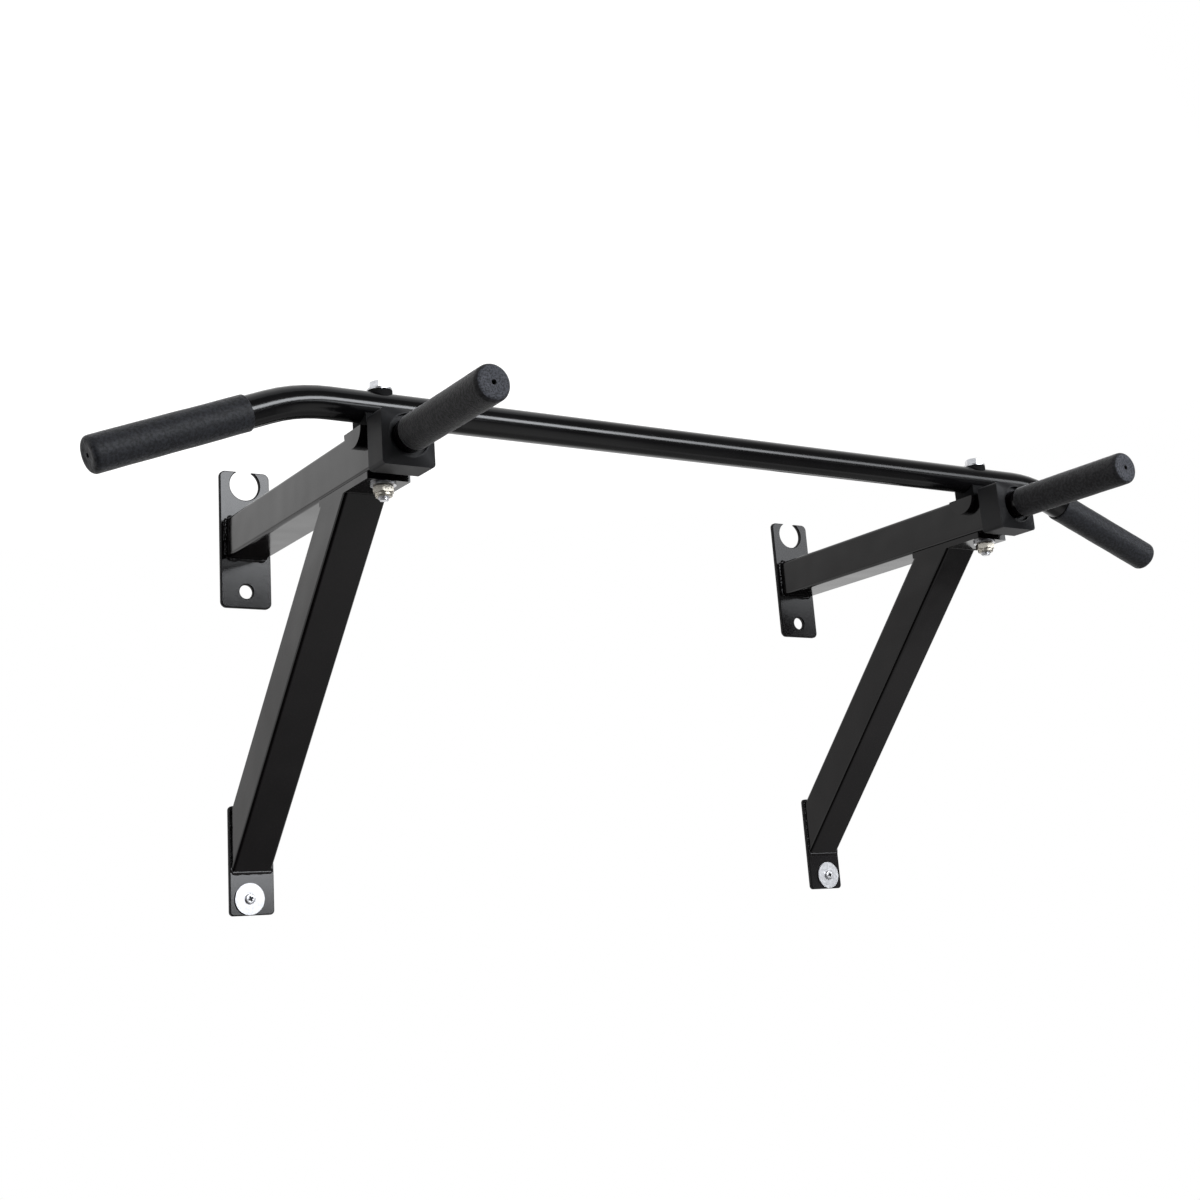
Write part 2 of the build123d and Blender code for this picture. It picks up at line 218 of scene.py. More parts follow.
class Value:
    """A node's output that Python's own operators work on, adding Math nodes to its graph."""

    def __init__(self, graph, socket):
        self.graph = graph
        self.socket = socket

    def maths(self, operation, *numbers):
        return self.graph.add("ShaderNodeMath", {"operation": operation}, dict(enumerate(numbers)))

    def __add__(self, other):
        return self.maths("ADD", self, other)

    def __radd__(self, other):
        return self.maths("ADD", other, self)

    def __sub__(self, other):
        return self.maths("SUBTRACT", self, other)

    def __rsub__(self, other):
        return self.maths("SUBTRACT", other, self)

    def __mul__(self, other):
        return self.maths("MULTIPLY", self, other)

    def __rmul__(self, other):
        return self.maths("MULTIPLY", other, self)

    def at_least(self, other):
        return self.maths("MAXIMUM", self, other)

    def at_most(self, other):
        return self.maths("MINIMUM", self, other)

    def step(self, low, high):
        """A smooth step from 0 at low to 1 at high."""
        return self.graph.add(
            "ShaderNodeMapRange", {"interpolation_type": "SMOOTHSTEP"},
            {"Value": self, "From Min": low, "From Max": high},
        )


class Graph:
    """The node tree of a material or a world, emptied and built afresh."""

    def __init__(self, owner):
        owner.use_nodes = True
        self.tree = owner.node_tree
        self.tree.nodes.clear()

    def add(self, kind, settings=None, inputs=None, output=0):
        """Adds a node: its settings first, then its inputs by name or number. Returns one output."""
        node = self.tree.nodes.new(kind)
        for key, value in (settings or {}).items():
            setattr(node, key, value)
        for key, value in (inputs or {}).items():
            if isinstance(value, Value):
                self.tree.links.new(value.socket, node.inputs[key])
            else:
                node.inputs[key].default_value = value
        return Value(self, node.outputs[output]) if len(node.outputs) else None

    def place(self):
        """The point on the object, in metres."""
        return self.add("ShaderNodeTexCoord", output="Object")

    def axes(self, vector):
        """The X, Y and Z of a vector."""
        split = self.add("ShaderNodeSeparateXYZ", {}, {"Vector": vector}).socket.node
        return [Value(self, axis) for axis in split.outputs]

    def ray(self, kind):
        """1 where this kind of ray looks, and 0 for others."""
        return self.add("ShaderNodeLightPath", output=f"Is {kind} Ray")

    def cloud(self, place, size, detail=2.0, roughness=0.5):
        """Smooth noise whose features are about size metres wide."""
        return self.add(
            "ShaderNodeTexNoise", {},
            {"Vector": place, "Scale": 1 / size, "Detail": detail, "Roughness": roughness},
        )

    def cells(self, place, size):
        """Distance from the middle of the nearest cell, for cells about size metres wide."""
        return self.add("ShaderNodeTexVoronoi", {}, {"Vector": place, "Scale": 1 / size})

    def blend(self, mask, first, second):
        """A colour between two colours."""
        return self.add(
            "ShaderNodeMix", {"data_type": "RGBA"}, {"Factor": mask, 6: first, 7: second}, output=2
        )

    def bump(self, height, distance, strength=1.0, under=None):
        """A normal tilted by a height, over another normal if one is given."""
        inputs = {"Height": height, "Distance": distance, "Strength": strength}
        if under is not None:
            inputs["Normal"] = under
        return self.add("ShaderNodeBump", {}, inputs)

    def surface(self, **inputs):
        """Adds the Principled shader and links it to the material's output."""
        shader = self.add(
            "ShaderNodeBsdfPrincipled", {},
            {key.replace("_", " "): value for key, value in inputs.items()},
        )
        self.add("ShaderNodeOutputMaterial", {}, {"Surface": shader})


def rgba(value, scale=1.0):
    """A colour property as four numbers, made lighter or darker."""
    return (*(min(1.0, part * scale) for part in value), 1.0)


# ---------------------------------------------------------------- finishes


def new_finish(name):
    """An empty material, its graph, and the point on the object that its patterns read."""
    material = bpy.data.materials.new(name)
    graph = Graph(material)
    return material, graph, graph.place()


def powder_coat(name, tone, gloss, paint, specular=0.4, lean=0.0, edge=0.0, wave_height=0.0):
    """Baked powder paint: orange peel over a fine grain, with faint cloudiness in tone and gloss.

    Lean tips the shading, as on a plate that the heat of its weld has pulled a little out of true.
    Edge adds roughness on every face that doesn't look at the wall or away from it, as on cut edges.
    Wave height gives the broad waves of a drawn tube.
    """
    material, graph, place = new_finish(name)
    cloud = graph.cloud(place, paint.cloud, detail=3)
    haze = graph.cloud(place, paint.haze, detail=2)
    speck = graph.cloud(place, paint.grain, detail=1).step(0.62, 0.74)
    tint = graph.blend(cloud.step(0.3, 0.7), rgba(tone, 0.8), rgba(tone, 1.25))
    dusted = graph.blend(speck * 0.35, tint, rgba(tone, 3.0))
    height = graph.axes(place)[2]
    pulled = graph.bump(height * math.tan(lean), 1.0)
    waved = graph.bump(graph.cloud(place, paint.wave, detail=1), wave_height, under=pulled)
    peel = graph.bump(graph.cloud(place, paint.peel, detail=1), paint.peel_depth, under=waved)
    grain = graph.bump(graph.cloud(place, paint.grain, detail=2), paint.peel_depth * 0.4, under=peel)
    outward = graph.axes(graph.add("ShaderNodeNewGeometry", output="Normal"))[1]
    cut = 1 - (outward * outward).step(0.3, 0.9)
    graph.surface(
        Base_Color=dusted, Roughness=gloss - 0.04 + cloud * 0.05 + haze * 0.04 + cut * edge,
        Specular_IOR_Level=specular, Normal=grain,
    )
    return material


def foam_skin(name, tone, gloss, foam, coarse=1.0, specular=0.32):
    """Closed-cell foam: a dull skin pitted with pores, with painted highlight where the cell walls stand up
    and painted shade down in the pores.
    """
    material, graph, place = new_finish(name)
    size = foam.pore * coarse
    pores = graph.cells(place, size)
    grit = graph.cloud(place, size * 0.6, detail=3, roughness=0.7)
    cloud = graph.cloud(place, 30 * MM, detail=3)
    lumps = graph.cloud(place, size * 2.2, detail=2)
    relief_and_painted_light = pores.step(0.25, 0.75) * 0.2 + grit.step(0.35, 0.7) * 0.25 + lumps.step(0.35, 0.65) * 0.55
    # Painted highlight and shade: the colour follows the relief, lighter on the raised cell walls and darker
    # in the pores.
    tint = graph.blend(relief_and_painted_light, rgba(tone, 0.2), rgba(tone, 2.5))
    worn_with_painted_light = graph.blend(cloud.step(0.45, 0.8) * 0.3, tint, rgba(tone, 1.8))
    pits = graph.bump(relief_and_painted_light, foam.pore_depth, strength=0.8)
    graph.surface(
        Base_Color=worn_with_painted_light, Roughness=gloss - relief_and_painted_light * 0.12, Specular_IOR_Level=specular,
        Sheen_Weight=0.4, Sheen_Roughness=0.35, Normal=pits,
    )
    return material


def moulded_plastic(name, tone, gloss, trim):
    """Moulded plastic with a spark-eroded texture and faint flow marks, and painted glints on the raised
    grains of the texture.
    """
    material, graph, place = new_finish(name)
    texture = graph.cloud(place, trim.texture, detail=2, roughness=0.6)
    flow = graph.cloud(place, 20 * MM, detail=2)
    tint = graph.blend(flow.step(0.3, 0.7), rgba(tone, 0.85), rgba(tone, 1.2))
    # Painted highlight: lighter flecks on the raised grains of the same texture that makes the bump.
    tint_and_painted_glints = graph.blend(texture.step(0.6, 0.75) * 0.25, tint, rgba(tone, 2.2))
    eroded = graph.bump(texture, 0.04 * MM)
    graph.surface(
        Base_Color=tint_and_painted_glints, Roughness=gloss - 0.05 + flow * 0.1, Specular_IOR_Level=0.35, Normal=eroded,
    )
    return material


def soft_rubber(name, tone):
    """Dull black rubber with a bloom in its hollows."""
    material, graph, place = new_finish(name)
    bloom = graph.cloud(place, 6 * MM, detail=3)
    grain = graph.bump(graph.cloud(place, 0.4 * MM, detail=1), 0.03 * MM)
    tint = graph.blend(bloom.step(0.45, 0.75), rgba(tone), rgba(tone, 1.9))
    graph.surface(Base_Color=tint, Roughness=0.78 + bloom * 0.1, Specular_IOR_Level=0.3, Normal=grain)
    return material


def zinc_plate(name, tone, gloss):
    """Bright zinc plating: a faint cloudy spangle with fine scratches in the gloss."""
    material, graph, place = new_finish(name)
    cloud = graph.cloud(place, 3 * MM, detail=3)
    scratches = graph.bump(graph.cloud(place, 0.4 * MM, detail=2), 0.0008 * MM)
    tint = graph.blend(cloud.step(0.35, 0.7), rgba(tone, 0.86), rgba(tone, 1.05))
    graph.surface(Base_Color=tint, Metallic=0.8, Roughness=gloss + cloud * 0.02, Normal=scratches)
    return material


def paint_nodes(material, names):
    """Gives CAD nodes a finish in place of the plain one that they came with."""
    for name in names:
        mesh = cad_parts[name].data
        mesh.materials.clear()
        mesh.materials.append(material)


def both(*stems):
    """The left and right node of each name."""
    return [f"{stem}_{side}" for stem in stems for side in SIDES]


# ---------------------------------------------------------------- modelling


def as_object(mesh, name, materials):
    """An object in the scene that holds a finished bmesh."""
    data = bpy.data.meshes.new(name)
    mesh.to_mesh(data)
    mesh.free()
    for material in materials:
        data.materials.append(material)
    return in_scene(name, data)


def in_scene(name, data):
    """A new object in the scene: a mesh, a light or a camera."""
    made = bpy.data.objects.new(name, data)
    bpy.context.scene.collection.objects.link(made)
    return made


def settle(mesh, name, materials, place=None, sharp=35):
    """Turns a finished bmesh into a piece, smooth but for edges that bend by more than sharp degrees."""
    if place is not None:
        bmesh.ops.transform(mesh, matrix=place, verts=mesh.verts)
    bmesh.ops.recalc_face_normals(mesh, faces=mesh.faces)
    for face in mesh.faces:
        face.smooth = True
    piece = as_object(mesh, name, materials)
    piece.data.set_sharp_from_angle(angle=math.radians(sharp))
    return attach(piece, BODY)


def revolve(profile, segments):
    """Turns a chain of (radius, height) points about Z into a closed shell."""
    mesh = bmesh.new()
    chain = [mesh.verts.new((radius, 0, height)) for radius, height in profile]
    edges = [mesh.edges.new(pair) for pair in zip(chain, chain[1:])]
    bmesh.ops.spin(
        mesh, geom=chain + edges, cent=(0, 0, 0), axis=(0, 0, 1), angle=2 * math.pi,
        steps=segments, use_merge=True,
    )
    bmesh.ops.remove_doubles(mesh, verts=mesh.verts, dist=1e-6)
    return mesh


def arc(centre_r, centre_z, radius, start, end, steps):
    """Points of a profile's rounding, from one angle to another in degrees."""
    turns = [math.radians(start + (end - start) * step / steps) for step in range(steps + 1)]
    return [(centre_r + radius * math.cos(t), centre_z + radius * math.sin(t)) for t in turns]


def aim(direction):
    """A turn that takes Z to a direction."""
    return Vector(direction).to_track_quat("Z", "Y").to_matrix().to_4x4()


def centre_line(node):
    """The two ends of a round CAD node's centre line, found from the middles of its end faces.

    A first guess at its direction is mended in rounds, each of which takes a thinner slice at either end.
    """
    points = [vertex.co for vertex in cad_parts[node].data.vertices]
    low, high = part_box(node)
    size = high - low
    along = Vector((0, 1, 0)) if size.y > size.x else Vector((1, 0, 0))
    half = (low + high).dot(along) / 2
    near = [point for point in points if point.dot(along) < half]
    far = [point for point in points if point.dot(along) >= half]
    along = (sum(far, Vector()) / len(far) - sum(near, Vector()) / len(near)).normalized()
    for slice_depth in (1 * MM, 0.3 * MM, 0.1 * MM, 0.1 * MM):
        reach = [point.dot(along) for point in points]
        first, last = min(reach), max(reach)
        start = ring_middle([point for point, r in zip(points, reach) if r < first + slice_depth])
        end = ring_middle([point for point, r in zip(points, reach) if r > last - slice_depth])
        along = (end - start).normalized()
    return start, end


def ring_middle(points):
    """The middle of a flat ring of points, however unevenly they lie round it."""
    lows = [min(point[i] for point in points) for i in range(3)]
    highs = [max(point[i] for point in points) for i in range(3)]
    return (Vector(lows) + Vector(highs)) / 2


# ---------------------------------------------------------------- foam grips


def foam_sleeve(name, node, tube, foam, materials):
    """A foam sleeve over a tube's end: a round mouth, an uneven side, a closed end with an air hole."""
    mouth, tip = centre_line(node)
    if mouth.length > tip.length:
        mouth, tip = tip, mouth
    low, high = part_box(node)
    outer = min(high - low) / 2
    low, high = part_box(tube)
    bore = min(high - low) / 2 + foam.clearance
    long = (tip - mouth).length
    floor = long - foam.end_wall
    sunk = long - foam.end_sink
    lip = 0.5 * MM
    rows = 36
    row = (long - foam.rim - foam.mouth) / rows
    profile = [
        (foam.vent, floor), (bore, floor), (bore, foam.mouth / 2),
        *arc(bore + foam.mouth / 2, foam.mouth / 2, foam.mouth / 2, 180, 270, 3),
        *arc(outer - foam.mouth, foam.mouth, foam.mouth, 270, 360, 5),
        *((outer, foam.mouth + step * row) for step in range(1, rows)),
        *arc(outer - foam.rim, long - foam.rim, foam.rim, 0, 90, 7),
        (outer - 1.6 * foam.rim, long - 0.08 * MM),
        (outer / 2, sunk), (foam.vent + 1.2 * MM, sunk),
        *arc(foam.vent + lip, sunk - lip, lip, 90, 180, 3),
    ]
    mesh = revolve(profile + profile[:1], 112)
    for vertex in mesh.verts:
        depth = (vertex.co.xy.length - bore) / (outer - bore)
        if depth > 0.3 and vertex.co.z < floor:
            sway = noise.noise(vertex.co / (22 * MM)) + 0.4 * noise.noise(vertex.co / (6 * MM))
            vertex.co.xy *= 1 + foam.wander * sway * depth / outer
    mesh.normal_update()
    bmesh.ops.recalc_face_normals(mesh, faces=mesh.faces)
    for face in mesh.faces:
        middle = face.calc_center_median()
        if face.normal.z > 0.75 and middle.z > long - foam.rim and middle.xy.length > foam.vent:
            face.material_index = 1
    place = Matrix.Translation(mouth) @ aim(tip - mouth)
    sleeve = settle(mesh, name, materials, place)
    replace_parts(sleeve, node)
    return sleeve


class PULLUP_OT_foam(bpy.types.Operator):
    """Foam sleeves on both handles and on both bent ends of the bar"""

    bl_idname = "pullup.foam"
    bl_label = "Foam grips"

    def execute(self, context):
        foam = chosen(context).foam
        handle_finish = [
            foam_skin("foam_skin", foam.skin, foam.gloss, foam),
            foam_skin("foam_end", foam.end, foam.gloss, foam, coarse=0.7),
        ]
        bar_finish = [
            foam_skin("bar_foam_skin", foam.bar_skin, foam.bar_gloss, foam, specular=0.42),
            foam_skin("bar_foam_end", foam.bar_end, foam.gloss, foam, coarse=1.6),
        ]
        for side in SIDES:
            handle = f"handle_tube_{side}"
            foam_sleeve(f"handle_foam_{side}", f"handle_grip_{side}", handle, foam, handle_finish)
            foam_sleeve(f"bar_foam_{side}", f"bar_grip_{side}", "pull_bar", foam, bar_finish)
        return {"FINISHED"}


# ---------------------------------------------------------------- painted steel and welds


def lay_bead(mesh, start, end, reach, normal, weld):
    """One weld bead along a corner, low over its plate, built section by section from end to end.

    It starts and ends thin, swells at each ripple and wanders a little in width.
    """
    run = end - start
    steps = max(2, round(run.length / weld.ripple)) * weld.sections
    thin = 0.35
    size = reach * thin
    ring = bmesh.ops.create_circle(
        mesh, cap_ends=True, segments=16, radius=size, matrix=Matrix.Translation(start) @ aim(run)
    )["verts"]
    bead = list(ring)
    edges = list(ring[0].link_faces[0].edges)
    centre = start.copy()
    for step in range(1, steps + 1):
        made = bmesh.ops.extrude_edge_only(mesh, edges=edges)["geom"]
        ring = [part for part in made if isinstance(part, bmesh.types.BMVert)]
        edges = [
            edge for edge in made
            if isinstance(edge, bmesh.types.BMEdge) and edge.verts[0] in ring and edge.verts[1] in ring
        ]
        near_end = min(step, steps - step) * run.length / steps
        taper = thin + (1 - thin) * min(1, near_end / (0.9 * reach)) ** 0.5
        ripple = 1 + weld.swell * (0.5 - step % weld.sections / weld.sections)
        wander = 1 + 0.45 * noise.noise(centre / (5 * MM))
        wanted = reach * taper * ripple * wander
        bmesh.ops.scale(
            mesh, verts=ring, vec=Vector.Fill(3, wanted / size), space=Matrix.Translation(-centre)
        )
        bmesh.ops.translate(mesh, verts=ring, vec=run / steps)
        centre += run / steps
        size = wanted
        bead += ring
    bmesh.ops.edgeloop_fill(mesh, edges=edges)
    for vertex in bead:
        vertex.co += normal * (vertex.co - start).dot(normal) * (weld.rise - 1)


def weld_piece(name, runs, normal, weld, paint):
    """All the beads of one joint as a single painted piece.

    Each run is a start, an end and a reach, and the normal is that of the plate under the beads.
    """
    mesh = bmesh.new()
    for start, end, reach in runs:
        lay_bead(mesh, Vector(start), Vector(end), reach, Vector(normal), weld)
    return settle(mesh, name, [paint], sharp=60)


def arm_root_runs(side, weld):
    """Beads down both sides and along the bottom of the arm, and a short tack at each top corner."""
    low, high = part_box(f"arm_tube_{side}")
    wall = high.y
    inset = 1 * MM
    tack_bead = weld.bead * 1.15
    return [
        ((low.x, wall, low.z), (low.x, wall, high.z), weld.bead),
        ((high.x, wall, low.z), (high.x, wall, high.z), weld.bead),
        ((low.x, wall, low.z), (high.x, wall, low.z), weld.bead),
        ((low.x + inset, wall, high.z), (low.x + weld.tack, wall, high.z), tack_bead),
        ((high.x - inset, wall, high.z), (high.x - weld.tack, wall, high.z), tack_bead),
    ]


def brace_foot_runs(side, weld):
    """Beads round the slanting brace where it stands on the lower plate."""
    low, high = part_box(f"brace_tube_{side}")
    slope = math.atan2(high.z - low.z, high.y - low.y)
    top = low.z + (high.x - low.x) / math.cos(slope)
    wall = high.y
    side_bead = weld.foot_bead * 0.7
    return [
        ((low.x, wall, low.z), (high.x, wall, low.z), weld.foot_bead),
        ((low.x, wall, top), (high.x, wall, top), weld.foot_bead),
        ((low.x, wall, low.z), (low.x, wall, top), side_bead),
        ((high.x, wall, low.z), (high.x, wall, top), side_bead),
    ]


def brace_head_runs(side, weld):
    """The bead across the front of the brace under its head plate."""
    low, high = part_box(f"brace_tube_{side}")
    return [((low.x, low.y, high.z), (high.x, low.y, high.z), weld.foot_bead)]


class PULLUP_OT_steel(bpy.types.Operator):
    """Powder coat on the arms, braces, plates, seats and handle tubes, and a glossier one on the bar"""

    bl_idname = "pullup.steel"
    bl_label = "Painted steel"

    def execute(self, context):
        paint = chosen(context).paint
        coat = powder_coat(
            "powder_coat", paint.steel, paint.steel_gloss, paint, wave_height=paint.wave_height
        )
        gloss = powder_coat("bar_coat", paint.bar, paint.bar_gloss, paint, specular=0.5)
        paint_nodes(coat, both("arm_tube", "brace_head_plate", "brace_tube", "bar_seat", "handle_tube"))
        paint_nodes(gloss, ["pull_bar"])
        for plates, lean in (
            (both("upper_wall_plate"), paint.upper_lean),
            (["lower_wall_plate_left"], paint.lower_lean),
            (["lower_wall_plate_right"], 0.0),
        ):
            plate_coat = powder_coat(
                f"{plates[0]}_coat", paint.steel, paint.steel_gloss, paint, lean=lean, edge=paint.edge
            )
            paint_nodes(plate_coat, plates)
        return {"FINISHED"}


class PULLUP_OT_welds(bpy.types.Operator):
    """Rippled weld beads at both ends of each arm and brace"""

    bl_idname = "pullup.welds"
    bl_label = "Weld beads"

    def execute(self, context):
        paint, weld = chosen(context).paint, chosen(context).weld
        coat = powder_coat("weld_coat", paint.steel, paint.weld_gloss, paint)
        out, down = (0, -1, 0), (0, 0, -1)
        for side in SIDES:
            weld_piece(f"arm_root_weld_{side}", arm_root_runs(side, weld), out, weld, coat)
            weld_piece(f"brace_foot_weld_{side}", brace_foot_runs(side, weld), out, weld, coat)
            weld_piece(f"brace_head_weld_{side}", brace_head_runs(side, weld), down, weld, coat)
        return {"FINISHED"}


# ---------------------------------------------------------------- caps and saddles


class PULLUP_OT_trim(bpy.types.Operator):
    """Moulded front caps and rubber saddle pads"""

    bl_idname = "pullup.trim"
    bl_label = "Caps and saddles"

    def execute(self, context):
        trim = chosen(context).trim
        paint_nodes(moulded_plastic("cap_plastic", trim.cap, trim.cap_gloss, trim), both("front_cap"))
        paint_nodes(soft_rubber("saddle_rubber", trim.rubber), both("saddle_pad", "saddle_washer"))
        return {"FINISHED"}


# ---------------------------------------------------------------- fasteners


def cut_hexagon(mesh, across, low, high):
    """Cuts the round part between two heights to six flats, with two corners on the X axis."""
    for vertex in mesh.verts:
        if low <= vertex.co.z <= high:
            turn = math.atan2(vertex.co.y, vertex.co.x) % math.radians(60) - math.radians(30)
            flat = across / 2 / math.cos(turn)
            if vertex.co.xy.length > flat:
                vertex.co.xy *= flat / vertex.co.xy.length


def thread(mesh, crest, depth, pitch, low, high, tip=0.0):
    """A helical thread between two heights, running out at both ends and narrowing towards a tip.

    Its root lies a little inside the core that it is wound on.
    """
    steps = 32
    root = crest - depth
    core = root * 0.97
    turns = round((high - low) / pitch) - 2
    flank = [(root, 0), (crest, 0.42), (crest, 0.58), (root, 1)]
    start = [mesh.verts.new((radius, 0, low + rise * pitch)) for radius, rise in flank]
    edges = [mesh.edges.new(pair) for pair in zip(start, start[1:])]
    bmesh.ops.spin(
        mesh, geom=start + edges, cent=(0, 0, 0), axis=(0, 0, 1), angle=2 * math.pi * turns,
        steps=steps * turns, dvec=(0, 0, pitch / steps),
    )
    last = low + (turns + 1) * pitch
    for vertex in mesh.verts:
        up = vertex.co.z
        out = vertex.co.xy.length
        run_out = max(0, min(1, (up - low) / pitch, (last - up) / pitch))
        narrow = min(1, 0.15 + 0.85 * (up - low) / tip) if tip else 1
        vertex.co.xy *= (core + (out - core) * run_out) * narrow / out


def threaded_rod(crest, depth, pitch, low, high, tip=0.0):
    """A threaded length with its core, as one mesh along Z from low to high."""
    mesh = bmesh.new()
    thread(mesh, crest, depth, pitch, low, high, tip)
    root = crest - depth
    if tip:
        taper = [(0, low), (root * 0.2, low + 0.1 * tip), (root, low + tip)]
    else:
        chamfer = 0.6 * MM
        taper = [(0, low), (root - chamfer, low), (root, low + chamfer)]
    return join(mesh, revolve([*taper, (root, high), (0, high)], 32))


def rod(radius, low, high, segments):
    """A plain round length along Z."""
    return revolve([(0, low), (radius, low), (radius, high), (0, high)], segments)


def join(mesh, other):
    """Adds another bmesh to this one."""
    spare = bpy.data.meshes.new("spare")
    other.to_mesh(spare)
    other.free()
    mesh.from_mesh(spare)
    bpy.data.meshes.remove(spare)
    return mesh


def chamfer_rows(inner, corner, edge_z, turn):
    """A profile's 30-degree chamfer in fine rows, from inner at edge_z out to corner.

    The turn is 1 where the chamfer rises outwards, and -1 where it falls.
    """
    rows = 16
    wide = corner - inner
    rise = turn * wide * math.tan(math.radians(30))
    return [(inner + wide * row / rows, edge_z + rise * row / rows) for row in range(rows + 1)]


def hex_head(across, low, high, chamfered_seat=False, collar=0.0):
    """A hexagon with the round chamfer of a bolt head or nut on its top, and a round collar above if asked.

    Its seat, at low, has a raised round bearing face, or the same chamfer as the top.
    """
    corner = across / 2 / math.cos(math.radians(30))
    face = across * 0.47
    if chamfered_seat:
        seat = chamfer_rows(across * 0.42, corner, low, 1)
    else:
        bearing = 0.3 * MM
        seat = [(face, low), (face, low + bearing), (corner, low + bearing)]
    crown = chamfer_rows(face, corner, high, -1)[::-1]
    mesh = revolve([(0, low), *seat, *crown, (0, high)], 144)
    cut_hexagon(mesh, across, low, high)
    if collar:
        ring = across * 0.447
        rim = 1.2 * MM
        top = high + collar
        insert = top - 0.6 * MM
        profile = [
            (0, high), (ring, high), *arc(ring - rim, top - rim, rim, 0, 90, 5),
            (ring * 0.72, top), (ring * 0.68, insert), (0, insert),
        ]
        join(mesh, revolve(profile, 72))
    return mesh


def clamp_bolt(side, zinc, material):
    """The hexagon bolt down through bar, arm and head plate, threaded at its lower end."""
    node = f"clamp_bolt_{side}"
    low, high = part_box(node)
    middle = (low + high) / 2
    head = high.z - zinc.bolt_head
    plain = low.z + zinc.bolt_thread
    mesh = threaded_rod(zinc.bolt_radius, zinc.thread_depth, zinc.pitch, low.z, plain)
    join(mesh, rod(zinc.bolt_radius, plain - OVERLAP, head, 48))
    join(mesh, hex_head(high.y - low.y, head, high.z))
    place = Matrix.Translation((middle.x, middle.y, 0))
    piece = settle(mesh, f"hex_bolt_{side}", [material], place)
    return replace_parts(piece, node)


def lock_nut(side, zinc, material):
    """The self-locking nut under the head plate, its round collar down."""
    node = f"clamp_nut_{side}"
    low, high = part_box(node)
    middle = (low + high) / 2
    tall = high.z - low.z
    collar = tall * 0.31
    mesh = hex_head(high.y - low.y, 0, tall - collar, chamfered_seat=True, collar=collar)
    place = Matrix.Translation((middle.x, middle.y, high.z)) @ Matrix.Rotation(math.pi, 4, "X")
    piece = settle(mesh, f"lock_nut_{side}", [material], place)
    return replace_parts(piece, node)


def pan_head(radius, tall, zinc):
    """A flat-crowned screw head with a cross recess: its bearing face at zero, its crown towards Z."""
    edge = tall * 0.3
    bearing = 0.2 * MM
    rows = 40
    crown = []
    for row in range(rows + 1):
        inward = row / rows
        height = edge + (tall - edge) * (1 - (1 - inward) ** 9) ** 0.5
        crown.append((radius * (1 - inward), height))
    mesh = revolve([(0, 0), (radius - bearing, 0), (radius, bearing), *crown], 144)
    for vertex in mesh.verts:
        if vertex.co.z > edge:
            across, along = sorted((abs(vertex.co.x), abs(vertex.co.y)))
            in_slot = 1 - smooth(across, zinc.recess_width * 0.5, zinc.recess_width * 0.72)
            in_reach = 1 - smooth(along, zinc.recess * 0.62, zinc.recess * 1.05)
            vertex.co.z -= zinc.recess_depth * in_slot * in_reach
    # Painted shade: the faces down in the cross recess take the second, darker finish.
    for face in mesh.faces:
        middle = face.calc_center_median()
        if middle.xy.length < zinc.recess and middle.z < tall - zinc.recess_depth * 0.2:
            face.material_index = 1
    return mesh


def smooth(value, low, high):
    """A smooth step from 0 at low to 1 at high."""
    t = min(1, max(0, (value - low) / (high - low)))
    return t * t * (3 - 2 * t)


def wall_screw(side, zinc, materials):
    """The pan-head screw through the lower plate, its cross recess turned a little."""
    node = f"wall_screw_{side}"
    low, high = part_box(node)
    middle = (low + high) / 2
    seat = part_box(f"fender_washer_{side}")[0].y
    mesh = pan_head((high.x - low.x) / 2, seat - low.y, zinc)
    bmesh.ops.rotate(mesh, verts=mesh.verts, matrix=Matrix.Rotation(zinc.screw_turn, 3, "Z"))
    tip, neck = seat - high.y, -zinc.screw_neck
    shank = threaded_rod(
        zinc.screw_radius, zinc.screw_depth, zinc.screw_pitch, tip, neck, tip=zinc.screw_tip
    )
    join(mesh, shank)
    join(mesh, rod(zinc.screw_neck_radius, neck - OVERLAP, 0, 32))
    place = Matrix.Translation((middle.x, seat, middle.z)) @ aim((0, -1, 0))
    piece = settle(mesh, f"pan_screw_{side}", materials, place)
    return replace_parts(piece, node)


class PULLUP_OT_fasteners(bpy.types.Operator):
    """Clamp bolts with their lock nuts, wall screws, and the finish of every zinc washer"""

    bl_idname = "pullup.fasteners"
    bl_label = "Fasteners"

    def execute(self, context):
        zinc = chosen(context).zinc
        plating = zinc_plate("zinc_plate", zinc.zinc, zinc.zinc_gloss)
        # Painted shade: a darker, rougher copy of the plating for the screws' cross recess.
        shadowed = zinc_plate("zinc_recess_painted_shade", zinc.recess_shade, zinc.zinc_gloss + 0.3)
        yellower = zinc_plate("nut_plate", zinc.nut, zinc.zinc_gloss)
        paint_nodes(plating, both("top_washer", "nut_washer", "fender_washer"))
        for side in SIDES:
            clamp_bolt(side, zinc, plating)
            lock_nut(side, zinc, yellower)
            wall_screw(side, zinc, [plating, shadowed])
        return {"FINISHED"}


# ---------------------------------------------------------------- stage


# Lights that face the wall from FRONT_LIGHT_Y: name, span across, span in height (metres), radiance.
FRONT_LIGHT_Y = -3.6
FRONT_LIGHTS = (
    ("front_softbox", (-0.4, 2.1), (0.42, 1.5), 9.6),
    ("front_softbox_middle", (2.1, 2.8), (0.42, 1.5), 6.5),
    ("front_softbox_end", (2.8, 3.7), (0.42, 1.5), 3.8),
    ("left_card", (0.9, 1.3), (-0.6, -0.12), 4.0),
    ("right_card", (3.1, 3.8), (-0.6, -0.12), 0.6),
    ("side_softbox", (3.9, 6.5), (0.2, 1.6), 4.0),
)


